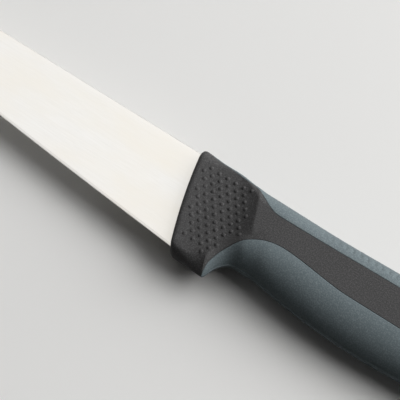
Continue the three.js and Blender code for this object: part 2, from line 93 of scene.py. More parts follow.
class Wire:
    """A shader socket that Python expressions can work with."""

    def __init__(self, graph: "Graph", socket: bpy.types.NodeSocket | None) -> None:
        """Keeps the socket and the graph that its Math nodes go into."""
        self.graph = graph
        self.socket = socket

    def _math(self, operation: str, first: Any, second: Any) -> "Wire":
        """Adds one Math node."""
        return self.graph.node("ShaderNodeMath", {"operation": operation}, {0: first, 1: second})

    def __add__(self, other: Any) -> "Wire":
        """Sum."""
        return self._math("ADD", self, other)

    def __radd__(self, other: Any) -> "Wire":
        """Sum with a number on the left."""
        return self._math("ADD", other, self)

    def __sub__(self, other: Any) -> "Wire":
        """Difference."""
        return self._math("SUBTRACT", self, other)

    def __rsub__(self, other: Any) -> "Wire":
        """Difference with a number on the left."""
        return self._math("SUBTRACT", other, self)

    def __mul__(self, other: Any) -> "Wire":
        """Product."""
        return self._math("MULTIPLY", self, other)

    def __rmul__(self, other: Any) -> "Wire":
        """Product with a number on the left."""
        return self._math("MULTIPLY", other, self)

    def at_least(self, other: Any) -> "Wire":
        """The larger of the two."""
        return self._math("MAXIMUM", self, other)


class Graph:
    """The node tree of one material or of the world."""

    def __init__(self, tree: bpy.types.NodeTree) -> None:
        """Empties the tree."""
        self.tree = tree
        tree.nodes.clear()

    def node(self, kind: str, settings: dict[str, Any], sockets: dict[Any, Any], output: Any = 0) -> Wire:
        """Adds a node.

        Args:
            kind: The node's type name.
            settings: Properties of the node, set before its sockets. "stops" fills a colour ramp.
            sockets: Values or wires for its inputs, by name or number.
            output: The output to return, by name or number.

        Returns:
            The chosen output, or an empty wire where the node has none.
        """
        made = self.tree.nodes.new(kind)
        for name, value in settings.items():
            if name == "stops":
                self._fill_ramp(made.color_ramp, value)
            else:
                setattr(made, name, value)
        for name, value in sockets.items():
            if isinstance(value, Wire):
                self.tree.links.new(value.socket, made.inputs[name])
            else:
                made.inputs[name].default_value = value
        return Wire(self, made.outputs[output] if made.outputs else None)

    @staticmethod
    def _fill_ramp(ramp: bpy.types.ColorRamp, stops: Stops) -> None:
        """Sets the two stops of a new ramp.

        Args:
            ramp: The ramp.
            stops: The place and the grey level of each stop.
        """
        for element, (place, level) in zip(ramp.elements, stops):
            element.position = place
            element.color = (level, level, level, 1.0)

    def place(self) -> Wire:
        """The place on the object in metres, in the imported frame."""
        return self.node("ShaderNodeTexCoord", {}, {}, "Object")

    def stretched(self, place: Wire, scale: Triple) -> Wire:
        """Scales a place by a different amount along each axis."""
        return self.node("ShaderNodeVectorMath", {"operation": "MULTIPLY"}, {0: place, 1: scale})

    def noise(self, place: Wire, scale: float, detail: float = 2.0, roughness: float = 0.5) -> Wire:
        """Noise from 0 to 1 with features of about 1 / scale."""
        sockets = {"Vector": place, "Scale": scale, "Detail": detail, "Roughness": roughness}
        return self.node("ShaderNodeTexNoise", {}, sockets, "Fac")

    def ramp(self, value: Wire, stops: Stops) -> Wire:
        """Bends a value by a grey ramp."""
        return self.node("ShaderNodeValToRGB", {"stops": stops}, {"Fac": value}, "Color")

    def mix(self, factor: Any, first: Any, second: Any) -> Wire:
        """A colour between two colours."""
        sockets = {MIX_FACTOR: factor, MIX_FIRST: first, MIX_SECOND: second}
        return self.node("ShaderNodeMix", {"data_type": "RGBA", "clamp_factor": True}, sockets, MIX_RESULT)

    def bump(self, height: Wire, strength: float, distance: float) -> Wire:
        """A normal that is tilted by a height, in units of the distance in metres."""
        sockets = {"Strength": strength, "Distance": distance, "Height": height}
        return self.node("ShaderNodeBump", {}, sockets, "Normal")

    def shown(self) -> Wire:
        """Tells rays that show the surroundings, straight or in metal or glass, from rays that only light.

        Returns:
            1 for the first and 0 for the others.
        """
        seen, glossy, through = [
            self.node("ShaderNodeLightPath", {}, {}, f"Is {kind} Ray")
            for kind in ("Camera", "Glossy", "Transmission")
        ]
        return seen.at_least(glossy).at_least(through)

    def surface(self, sockets: dict[Any, Any]) -> None:
        """Ends a material in one Principled shader."""
        shader = self.node("ShaderNodeBsdfPrincipled", {}, sockets, "BSDF")
        self.node("ShaderNodeOutputMaterial", {}, {"Surface": shader})


def rgb(red: float, green: float, blue: float) -> Colour:
    """A linear colour with full cover."""
    return (red, green, blue, 1.0)


def new_material(name: str) -> tuple[bpy.types.Material, Graph]:
    """Starts a node material.

    Args:
        name: The material's name.

    Returns:
        The material and its empty graph.
    """
    material = bpy.data.materials.new(name)
    material.use_nodes = True
    return material, Graph(material.node_tree)


@dataclass(frozen=True)
class SatinSteel:
    """Finely ground blade steel."""

    colour: Colour = rgb(0.655, 0.648, 0.634)
    streak: Colour = rgb(0.625, 0.616, 0.598)
    tarnish: Colour = rgb(0.642, 0.619, 0.575)
    roughness: float = 0.42
    roughness_swing: float = 0.06
    grain_along: Triple = (150.0, 3600.0, 150.0)
    grain_detail: float = 3.0
    grain_roughness: float = 0.6
    grain_depth: float = 0.000004
    bump_strength: float = 0.35
    streak_stops: Stops = ((0.35, 0.0), (0.68, 1.0))
    clouds_along: Triple = (42.0, 105.0, 42.0)
    cloud_detail: float = 4.0
    cloud_stops: Stops = ((0.36, 0.0), (0.74, 1.0))

    def make(self) -> bpy.types.Material:
        """Builds the material.

        Returns:
            Steel with fine grinding lines along the blade and faint warm clouds.
        """
        material, graph = new_material("satin_steel")
        place = graph.place()
        along = graph.stretched(place, self.grain_along)
        lines = graph.noise(along, 1.0, self.grain_detail, self.grain_roughness)
        clouds = graph.noise(graph.stretched(place, self.clouds_along), 1.0, self.cloud_detail)
        ground = graph.mix(graph.ramp(lines, self.streak_stops), self.colour, self.streak)
        graph.surface({
            "Base Color": graph.mix(graph.ramp(clouds, self.cloud_stops), ground, self.tarnish),
            "Metallic": 1.0,
            "Roughness": self.roughness + (lines - NOISE_MEAN) * self.roughness_swing,
            "Normal": graph.bump(lines, self.bump_strength, self.grain_depth),
        })
        return material


@dataclass(frozen=True)
class Moulded:
    """A finely spark-eroded moulding: a base colour with a fine speckle and a matt grain."""

    name: str
    colour: Colour
    speckle: Colour
    roughness: float
    roughness_swing: float
    specular: float
    sheen: float = 0.0
    grain_scale: float = 2500.0
    grain_detail: float = 3.0
    grain_roughness: float = 0.65
    grain_share: float = 0.7
    grain_depth: float = 0.00004
    bump_strength: float = 0.6
    speckle_stops: Stops = ((0.45, 0.0), (0.7, 1.0))
    pores_to_grain: float = 2.3
    pore_stops: Stops = ((0.38, 0.0), (0.62, 1.0))
    pore_share: float = 0.3
    grain_to_wear: float = 45.0
    wear_detail: float = 3.0
    wear_share: float = 0.35

    def make(self) -> bpy.types.Material:
        """Builds the material.

        Returns:
            A moulded finish whose grain is a height, a roughness and a faint speckle of colour.
        """
        material, graph = new_material(self.name)
        place = graph.place()
        grain = graph.noise(place, self.grain_scale, self.grain_detail, self.grain_roughness)
        pores = graph.ramp(graph.noise(place, self.grain_scale * self.pores_to_grain), self.pore_stops)
        wear = graph.noise(place, self.grain_scale / self.grain_to_wear, self.wear_detail)
        speckled = (wear - NOISE_MEAN) * self.wear_share + graph.ramp(grain, self.speckle_stops)
        height = grain * self.grain_share + pores * self.pore_share
        graph.surface({
            "Base Color": graph.mix(speckled, self.colour, self.speckle),
            "Roughness": self.roughness + (grain - NOISE_MEAN) * self.roughness_swing,
            "Specular IOR Level": self.specular,
            "Sheen Weight": self.sheen,
            "Normal": graph.bump(height, self.bump_strength, self.grain_depth),
        })
        return material


@dataclass(frozen=True)
class PaleFloor:
    """A plain matt floor that throws little light back at the object."""

    colour: Colour = rgb(0.84, 0.835, 0.82)
    bounce: Colour = rgb(0.08, 0.08, 0.08)
    roughness: float = 0.9
    specular: float = 0.1

    def make(self) -> bpy.types.Material:
        """Builds the material.

        Returns:
            A matt finish that is pale where it is seen and darker as a source of light.
        """
        material, graph = new_material("pale_floor")
        graph.surface({
            "Base Color": graph.mix(graph.shown(), self.bounce, self.colour),
            "Roughness": self.roughness,
            "Specular IOR Level": self.specular,
        })
        return material


CORE_FINISH = Moulded(
    name="grained_black_plastic",
    colour=rgb(0.056, 0.0552, 0.0555),
    speckle=rgb(0.116, 0.115, 0.116),
    roughness=0.56,
    roughness_swing=0.16,
    specular=0.07,
)

GRIP_FINISH = Moulded(
    name="grained_grey_rubber",
    colour=rgb(0.131, 0.162, 0.173),
    speckle=rgb(0.22, 0.258, 0.271),
    roughness=0.62,
    roughness_swing=0.14,
    specular=0.08,
    sheen=0.03,
)


@dataclass(frozen=True)
class Curve:
    """A smooth curve through knots of place, value and slope, level beyond its ends."""

    knots: tuple[Triple, ...]

    def __call__(self, x: Values) -> Array:
        """Reads the curve.

        Args:
            x: Places.

        Returns:
            The curve's value at each place.
        """
        x = np.asarray(x, float)
        value = np.full(x.shape, self.knots[0][1])
        for (x0, y0, s0), (x1, y1, s1) in zip(self.knots, self.knots[1:]):
            run = x1 - x0
            t = np.clip((x - x0) / run, 0.0, 1.0)
            bend = t * (1 - t) ** 2 * run * s0 + t * t * (t - 1) * run * s1
            value = np.where(x > x0, y0 + (y1 - y0) * ease(t) + bend, value)
        return value


def ease(share: Array) -> Array:
    """A smooth step from 0 to 1."""
    t = np.clip(share, 0.0, 1.0)
    return t * t * (3 - 2 * t)


def arch(share: Array) -> Array:
    """A parabola from 0 over 1 in the middle back to 0."""
    return 4 * share * (1 - share)


def graded(start: float, runs: Sequence[tuple[float, float]]) -> Array:
    """Places along runs that each have a step of their own.

    Args:
        start: The first place.
        runs: The end of each run and the longest step in it.

    Returns:
        Even places in each run, up to the last end but without it.
    """
    places = []
    for end, step in runs:
        count = max(1, math.ceil((end - start) / step))
        places.append(np.linspace(start, end, count, endpoint=False))
        start = end
    return np.concatenate(places)


@dataclass(frozen=True)
class HandleForm:
    """Outline and sections of the handle, shared by its hard core and its soft grips.

    A section is a slanted line from the spine down to its foot on the belly, with a thickness on both sides.
    A place on it is its turn: 0 at the spine, 1 at the end of the shoulder, 2 where the underside starts and
    3 at the foot.
    """

    butt_run: float
    butt_from: float = 123.0
    butt_corner: float = 9.0
    front_slant: float = 11.6
    front_bow: float = 0.8
    front_round: float = 1.8
    half: float = 9.0
    guard_tip: float = 24.2
    guard_depth: float = 34.1
    round_share: float = 0.96
    least_round: float = 0.2
    shoulder_power: float = 1.8
    # Thumb panel with its hollow rear wall
    panel_rear: float = 34.3
    cove: float = 10.5
    cove_power: float = 2.2
    rim_round: float = 0.5
    corner_from: float = 32.0
    corner_to: float = 34.8
    corner_turn: float = 0.5
    corner_run: float = 0.35
    blend_share: float = 0.26
    # Lines of the soft grips
    strip_front: float = 3.8
    strip_front_run: float = 1.2
    strip_end: float = 118.0
    strip_end_run: float = 9.0
    grip_arc_x: float = 41.6
    grip_arc_depth: float = 32.0
    grip_arc_reach: float = 17.4
    grip_arc_rise: float = 16.1
    grip_level_from: float = 67.0
    grip_level: float = 18.1
    grip_end: float = 116.0
    grip_end_run: float = 16.0
    grip_below: float = 37.1
    strip_sweep: Curve = Curve((
        (3.8, 0.2, 0), (20, -1.75, 0), (33.8, -7.5, 0), (84, -6.6, 0), (118, -7.5, 0),
    ))
    # Outline along X, and sections along their feet
    spine: Curve = Curve(((0, 1.7, 0), (26, 0, 0), (48, -0.05, 0), (84, 0.8, 0), (132, -1.5, 0)))
    belly: Curve = Curve((
        (11.6, -33.1, 0), (24.2, -34.1, 0), (25.6, -30, 2.2), (33, -25.4, 0), (38, -25.5, -0.19),
        (76, -29, 0), (105, -27.9, 0), (122, -29.2, 0),
    ))
    slant: Curve = Curve(((35, 11.6, 0), (95, 0, 0)))
    shoulder: Curve = Curve((
        (11.6, 5.4, 0), (17, 5.2, 0), (26, 2.4, 0), (31, 4.1, 0.75), (36.5, 7.8, 0),
    ))
    underside: Curve = Curve(((16, 2.2, 0), (24.2, 5.5, 0), (50, 11, 0)))
    underside_power: Curve = Curve(((16, 2, 0), (24.2, 1.6, 0), (30.2, 2, 0)))
    panel: Curve = Curve(((12, 7, -0.22), (20.5, 5.8, 0)))
    under_panel: Curve = Curve(((20, 6.9, 0), (43, 9, 0)))
    taper: Curve = Curve(((16, 0.38, 0), (24.2, 0.3, 0), (33, 0, 0)))

    def softness(self, x: Array, y: Array) -> Array:
        """How far places of the side face take the smooth form of the soft grip.

        Args:
            x: Places along the knife.
            y: Places towards the spine.

        Returns:
            1 in the grip, falling to 0 a few millimetres outside its line.
        """
        over = np.hypot(
            np.minimum(x - self.grip_arc_x, 0) / self.grip_arc_reach,
            (y + self.grip_arc_depth) / self.grip_arc_rise,
        )
        return 1 - ease((over - 1) / self.blend_share)

    def side(self, foot: Array, turn: Array, soft: Array) -> Array:
        """Half thickness of the side face, with the sunken thumb panel and its hollow rear wall.

        Args:
            foot: Feet of the sections.
            turn: Turns on them. Close to the spine the panel ends earlier, in a rounded corner.
            soft: How far the soft grip's smooth form takes over.

        Returns:
            The half thickness.
        """
        deep = float(self.panel(self.panel_rear))
        rise = self.half - deep
        share = np.clip((foot - self.panel_rear + self.cove) / self.cove, 0, 1)
        bend = 1 - self.rim_round / self.cove
        steepness = self.cove_power * rise * bend ** (self.cove_power - 1) / self.cove
        rim = Curve((
            (self.panel_rear - self.rim_round, deep + rise * bend**self.cove_power, steepness),
            (self.panel_rear + self.rim_round, self.half, 0),
        ))
        hollow = self.panel(foot) + rise * share**self.cove_power
        level = np.where(foot > self.panel_rear - self.rim_round, rim(foot), hollow)
        level = level + (self.under_panel(foot) - level) * soft
        along = ease((foot - self.corner_from) / (self.corner_to - self.corner_from))
        corner = along * (1 - ease((turn - self.corner_turn) / self.corner_run))
        return level + (self.half - level) * corner

    def bow(self, foot: Array) -> Array:
        """Forward bow of a section."""
        return self.front_bow * (1 - ease((foot - self.front_slant) / (self.panel_rear - self.front_slant)))

    def chord(self, foot: Array, corner: Array) -> tuple[Array, Array, Array]:
        """Straight lines of sections from the spine to the foot, seen from the side.

        Args:
            foot: Feet of the sections.
            corner: How far the lines are cut back at both ends.

        Returns:
            The upper ends, the directions and the lengths.
        """
        top = np.stack([foot - self.slant(foot), self.spine(foot - self.slant(foot))], -1)
        along = np.stack([foot, self.belly(foot)], -1) - top
        depth = np.linalg.norm(along, axis=-1)
        along = along / depth[..., None]
        return top + along * corner[..., None], along, depth - 2 * corner

    def point(self, foot: Values, turn: Values, inset: Values = 0.0, closing: Values = 1.0) -> Array:
        """Places on the handle's surface.

        Args:
            foot: Feet of the sections.
            turn: Turns on them. Turns under 0 or over 3 go on round the other side.
            inset: How far the section is shrunk on all sides.
            closing: Share of the thickness that is left at the rounded butt.

        Returns:
            The places, in the knife's frame.
        """
        foot, turn, inset, closing = np.broadcast_arrays(*map(np.asarray, (foot, turn, inset, closing)))
        sign = np.where((turn < 0) | (turn > FOOT_TURN), -1.0, 1.0)
        turn = np.where(turn < 0, -turn, np.where(turn > FOOT_TURN, 2 * FOOT_TURN - turn, turn))
        top, along, depth = self.chord(foot, inset + self.butt_corner * (1 - closing))

        wanted = self.shoulder(foot) + self.underside(foot) - 2 * inset
        fit = np.minimum(1.0, self.round_share * depth / wanted)
        shoulder = np.maximum((self.shoulder(foot) - inset) * fit, self.least_round)
        underside = np.maximum((self.underside(foot) - inset) * fit, self.least_round)
        # Shoulder and underside are quarters of superellipses, with a straight flank between them
        on_flank, on_underside = turn > SHOULDER_TURN, turn > UNDERSIDE_TURN
        upper = np.clip(turn, 0, 1) * QUARTER
        lower = np.clip(turn - UNDERSIDE_TURN, 0, 1) * QUARTER
        upper_power = 2 / self.shoulder_power
        lower_power = 2 / self.underside_power(foot)
        flank = (depth - underside - shoulder) * (turn - SHOULDER_TURN)
        down = shoulder * (1 - np.cos(upper).clip(0) ** upper_power)
        down = np.where(on_flank, shoulder + flank, down)
        down = np.where(on_underside, depth - underside * (1 - np.sin(lower) ** lower_power), down)

        x = top[..., 0] + along[..., 0] * down - self.bow(foot) * arch(down / depth)
        y = top[..., 1] + along[..., 1] * down
        side = np.maximum(self.side(foot, turn, self.softness(x, y)) * closing - inset, 0.0)
        out = side * np.sin(upper) ** upper_power
        out = np.where(on_underside, side * np.cos(lower).clip(0) ** lower_power, out)
        out = out * (1 - self.taper(foot) * (down / depth) ** 2)
        return np.stack([x, y, out * sign], -1)

    def normal(self, foot: Array, turn: Array) -> Array:
        """Outward normals of the handle's surface, worked out from close neighbours.

        Args:
            foot: Feet of the sections.
            turn: Turns on them.

        Returns:
            The normals.
        """
        across = self.point(foot, turn + NEAR) - self.point(foot, turn - NEAR)
        forward = self.point(foot + NEAR, turn) - self.point(foot - NEAR, turn)
        normal = np.cross(across, forward)
        return normal / np.linalg.norm(normal, axis=-1, keepdims=True)

    def strip_line(self, x: Array) -> Array:
        """Lower line of the spine strip, seen from the side.

        Args:
            x: Places along the knife.

        Returns:
            The line's heights.
        """
        rear = 1 - np.clip((self.strip_end - x) / self.strip_end_run, 0, 1)
        front = 1 - np.clip((x - self.strip_front) / self.strip_front_run, 0, 1)
        width = np.sqrt(1 - rear * rear) * np.sqrt(1 - front * front)
        return self.spine(x) + (self.strip_sweep(x) - self.spine(x)) * width

    def grip_line(self, x: Array) -> Array:
        """Upper line of the belly grip, seen from the side.

        Args:
            x: Places along the knife.

        Returns:
            The line's heights, far below the knife outside the grip.
        """
        over = np.clip((x - self.grip_arc_x) / self.grip_arc_reach, -1, 0)
        arc = -self.grip_arc_depth + self.grip_arc_rise * np.sqrt(1 - over * over)
        top = self.grip_arc_rise - self.grip_arc_depth
        share = ease((x - self.grip_arc_x) / (self.grip_level_from - self.grip_arc_x))
        line = np.where(x < self.grip_arc_x, arc, top + (-self.grip_level - top) * share)
        past = np.clip((x - self.grip_end + self.grip_end_run) / self.grip_end_run, 0, 1)
        line = -self.grip_below + (line + self.grip_below) * np.sqrt(1 - past * past)
        inside = (x > self.grip_arc_x - self.grip_arc_reach) & (x < self.grip_end)
        return np.where(inside, line, FAR_BELOW)

    def crossing(self, foot: Array, line: Callable[[Array], Array]) -> Array:
        """Turns at which sections cross a line from above.

        Args:
            foot: Feet of the sections.
            line: The line's height at places along the knife.

        Returns:
            The turn of each section's crossing, found by halving.
        """
        low = np.zeros_like(foot)
        high = np.full_like(foot, FOOT_TURN)
        for _ in range(HALVINGS):
            middle = (low + high) / 2
            place = self.point(foot, middle)
            above = place[..., 1] > line(place[..., 0])
            low = np.where(above, middle, low)
            high = np.where(above, high, middle)
        return low

    def strip_turn(self, foot: Array) -> Array:
        """Turns of the spine strip's lower line."""
        return self.crossing(foot, self.strip_line)

    def grip_turn(self, foot: Array) -> Array:
        """Turns of the belly grip's upper line."""
        return self.crossing(foot, self.grip_line)

    def foot_of_top(self, x: float) -> float:
        """Finds a section by its upper end.

        Args:
            x: Place of the upper end along the knife.

        Returns:
            The section's foot, found by halving.
        """
        low, high = x, x + self.front_slant
        for _ in range(HALVINGS):
            middle = (low + high) / 2
            if middle - float(self.slant(middle)) < x:
                low = middle
            else:
                high = middle
        return low


class Section:
    """One section of the handle, measured along its surface from the spine to the foot."""

    TURNS = np.linspace(0.0, FOOT_TURN, FINE_TURNS)

    def __init__(self, form: HandleForm, foot: float, inset: float = 0.0, closing: float = 1.0) -> None:
        """Measures the section.

        Args:
            form: The handle's form.
            foot: The section's foot.
            inset: How far it is shrunk.
            closing: Share of the thickness that is left.
        """
        self.form = form
        self.foot = foot
        self.skin = form.point(np.full(self.TURNS.shape, foot), self.TURNS, inset, closing)
        steps = np.linalg.norm(np.diff(self.skin, axis=0), axis=1)
        self.way = np.concatenate([[0.0], np.cumsum(steps)])
        self.whole = float(self.way[-1])

    def way_of(self, turn: float) -> float:
        """Length from the spine to a turn."""
        return float(np.interp(turn, self.TURNS, self.way))

    def on_skin(self, way: Array) -> Array:
        """Places at lengths from the spine, read off the measured skin."""
        return np.stack([np.interp(way, self.way, self.skin[:, axis]) for axis in range(3)], -1)

    def places(self, way: Array, drop: Array) -> Array:
        """Places at lengths from the spine of a whole section, sunk below the surface.

        Args:
            way: Lengths along the surface.
            drop: How far each place is sunk.

        Returns:
            The places, in the knife's frame.
        """
        turn = np.interp(way, self.way, self.TURNS)
        foot = np.full(turn.shape, self.foot)
        return self.form.point(foot, turn) - self.form.normal(foot, turn) * drop[:, None]


def line_spread(form: HandleForm, feet: Array, turns: Array) -> Array:
    """How much longer a way along a section is than the way square to a line that crosses the sections.

    Args:
        form: The handle's form.
        feet: Feet of the sections.
        turns: Turns at which the line crosses them.

    Returns:
        One factor for each section, from 1 upwards.
    """
    line = np.gradient(form.point(feet, turns), feet, axis=0)
    across = form.point(feet, turns + NEAR) - form.point(feet, turns - NEAR)
    line /= np.linalg.norm(line, axis=1, keepdims=True) + TINY
    across /= np.linalg.norm(across, axis=1, keepdims=True) + TINY
    return 1 / np.clip(np.linalg.norm(np.cross(line, across), axis=1), LEAST_SINE, 1.0)


def mirrored(half: Array) -> Array:
    """Closes a half ring, whose ends are laid in the middle plane, with its mirror image."""
    half[[0, -1], 2] = 0.0
    return np.concatenate([half, half[-2:0:-1] * np.array([1.0, 1.0, -1.0])])


def ring_faces(rows: int, columns: int, start: int = 0) -> list[Face]:
    """Quads between neighbouring closed rings.

    Args:
        rows: Number of rings.
        columns: Points on each ring.
        start: Number of the first vertex.

    Returns:
        The faces.
    """
    faces = []
    for row in range(rows - 1):
        near = start + row * columns
        far = near + columns
        for i in range(columns):
            after = (i + 1) % columns
            faces.append((near + i, near + after, far + after, far + i))
    return faces


def capped_faces(rows: int, columns: int) -> list[Face]:
    """Quads between neighbouring closed rings, and a face at each end.

    Args:
        rows: Number of rings.
        columns: Points on each ring.

    Returns:
        The faces.
    """
    last = (rows - 1) * columns
    ends = [tuple(range(columns)), tuple(range(last, last + columns))]
    return ring_faces(rows, columns) + ends


class Placer:
    """Turns places in the knife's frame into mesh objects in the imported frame."""

    def __init__(self, blade_length: float) -> None:
        """Finds the knife's frame from the length between the nose and the tip."""
        low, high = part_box("blade")
        self.origin = np.array([low.x + blade_length * MM, high.y, (low.z + high.z) / 2])

    def to_frame(self, places: Array) -> Array:
        """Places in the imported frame, in metres."""
        return places * MM + self.origin

    def make(
        self, name: str, places: Array, faces: list[Face], sharp: Sequence[tuple[int, int]] = (),
    ) -> bpy.types.Object:
        """Makes a smooth mesh object.

        Args:
            name: The piece's name.
            places: Vertices in the knife's frame.
            faces: Faces as vertex numbers.
            sharp: Edges that stay sharp, as pairs of vertex numbers.

        Returns:
            The object, with coinciding vertices merged and its faces pointing outwards.
        """
        mesh = bpy.data.meshes.new(name)
        mesh.from_pydata(self.to_frame(places).tolist(), [], faces)
        work = bmesh.new()
        work.from_mesh(mesh)
        work.verts.ensure_lookup_table()
        for first, second in sharp:
            edge = work.edges.get((work.verts[first], work.verts[second]))
            if edge:
                edge.smooth = False
        bmesh.ops.remove_doubles(work, verts=work.verts, dist=SAME_PLACE)
        bmesh.ops.dissolve_degenerate(work, edges=work.edges, dist=SLIVER)
        bmesh.ops.recalc_face_normals(work, faces=work.faces)
        for face in work.faces:
            face.smooth = True
        work.to_mesh(mesh)
        work.free()
        piece = bpy.data.objects.new(name, mesh)
        bpy.context.scene.collection.objects.link(piece)
        log.info("%s: %d faces", name, len(mesh.polygons))
        return piece


@dataclass
class SubAssembly:
    """A piece of the knife that is shown in the place of one solid."""

    placer: Placer

    def dress(self, piece: bpy.types.Object, node: str, slot: Slot, material: bpy.types.Material) -> None:
        """Gives a piece its finish and puts it in the place of a solid.

        Args:
            piece: The finished piece.
            node: The solid that it stands for.
            slot: Its slot in the record. It is not used.
            material: Its finish.
        """
        piece.data.materials.append(material)
        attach(piece, BODY)
        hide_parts(node)


@dataclass
class Blade(SubAssembly):
    """The ground blade with its sharpened bevel."""

    length: float = 166.0
    heel_depth: float = 31.0
    heel_x: float = 10.6
    edge_taper: float = 0.092
    edge_sweep: float = 7.0
    edge_sweep_power: int = 3
    tip_rise_power: int = 12
    spine_drop: float = 3.0
    spine_drop_run: float = 80.0
    spine_thickness: float = 2.5
    tip_thickness: float = 1.1
    edge_thickness: float = 0.38
    edge_to_spine: float = 0.8
    bevel_height: float = 0.8
    bevel_share: float = 0.5
    seat_top: float = 2.6
    seat_heel: float = 3.5
    tip_height: float = 0.12
    tip_thinning: float = 2.2
    tip_half: float = 0.03
    spine_round: float = 0.22
    round_to_height: float = 0.125
    edge_half: float = 0.015
    rings: int = 170
    ring_crowding: float = 1.5
    flank_points: int = 14
    round_points: int = 5
    bevel_points: int = 3

    def spine_at(self, x: float) -> float:
        """Height of the spine, which falls a little towards the tip."""
        share = np.clip((x + self.length) / self.spine_drop_run, 0, 1)
        return float(-self.spine_drop * (1 - share) ** 2)

    def edge_at(self, x: float) -> float:
        """Height of the edge, which rises in a long sweep to the tip.

        Args:
            x: Place along the knife.

        Returns:
            The height.
        """
        length = self.heel_x + self.length
        share = np.maximum((self.heel_x - x) / length, 0)
        tip_rise = self.heel_depth - self.edge_taper * length - self.edge_sweep - self.spine_drop
        straight = -self.heel_depth + self.edge_taper * (self.heel_x - x)
        sweep = self.edge_sweep * share**self.edge_sweep_power
        return float(straight + sweep + tip_rise * share**self.tip_rise_power)

    def half_ring(self, share: float) -> Array:
        """One half of a cross-section, from the spine down to the edge.

        Args:
            share: 0 at the seat in the handle, 1 at the tip.

        Returns:
            The places of the half ring.
        """
        top_x = self.seat_top - (self.length + self.seat_top) * share
        foot_x = self.heel_x + self.seat_heel
        foot_x -= (self.length + foot_x) * share
        top_y = self.spine_at(top_x)
        height = max(top_y - self.edge_at(foot_x), self.tip_height)
        bevel = min(self.bevel_height / height, self.bevel_share)
        spine = (self.spine_thickness + (self.tip_thickness - self.spine_thickness) * share) / 2
        spine = spine * height**2 / (height**2 + self.tip_thinning) + self.tip_half
        shoulder = min(self.edge_thickness / 2, spine * self.edge_to_spine)
        radius = min(self.spine_round, spine / 2, height * self.round_to_height)
        flank_end = height * (1 - bevel)

        turns = np.linspace(0, QUARTER, self.round_points)
        flank = np.linspace(0, 1, self.flank_points + 1)[1:]
        ground = np.linspace(0, 1, self.bevel_points + 1)[1:]
        down = np.concatenate([
            [0.0],
            radius * (1 - np.cos(turns)),
            radius + (flank_end - radius) * flank,
            flank_end + (height - flank_end) * ground,
            [height],
        ])
        out = np.concatenate([
            [0.0],
            spine - radius * (1 - np.sin(turns)),
            spine + (shoulder - spine) * flank,
            shoulder + (self.edge_half - shoulder) * ground,
            [0.0],
        ])
        x = top_x + (foot_x - top_x) * down / height
        return np.stack([x, top_y - down, out], -1)

    def build(self, material: bpy.types.Material) -> bpy.types.Object:
        """Builds the blade.

        Args:
            material: The steel.

        Returns:
            The finished piece.
        """
        shares = 1 - (1 - np.linspace(0, 1, self.rings)) ** self.ring_crowding
        rings = [mirrored(self.half_ring(share)) for share in shares]
        columns = len(rings[0])
        last = (self.rings - 1) * columns
        shoulder = self.round_points + self.flank_points
        sharp = []
        for row in range(self.rings - 1):
            for column in (shoulder, columns - shoulder):
                sharp.append((row * columns + column, (row + 1) * columns + column))
        sharp += [(last + i, last + (i + 1) % columns) for i in range(columns)]
        faces = capped_faces(self.rings, columns)
        piece = self.placer.make("blade_ground", np.concatenate(rings), faces, sharp)
        self.dress(piece, "blade", Slot.STEEL, material)
        return piece


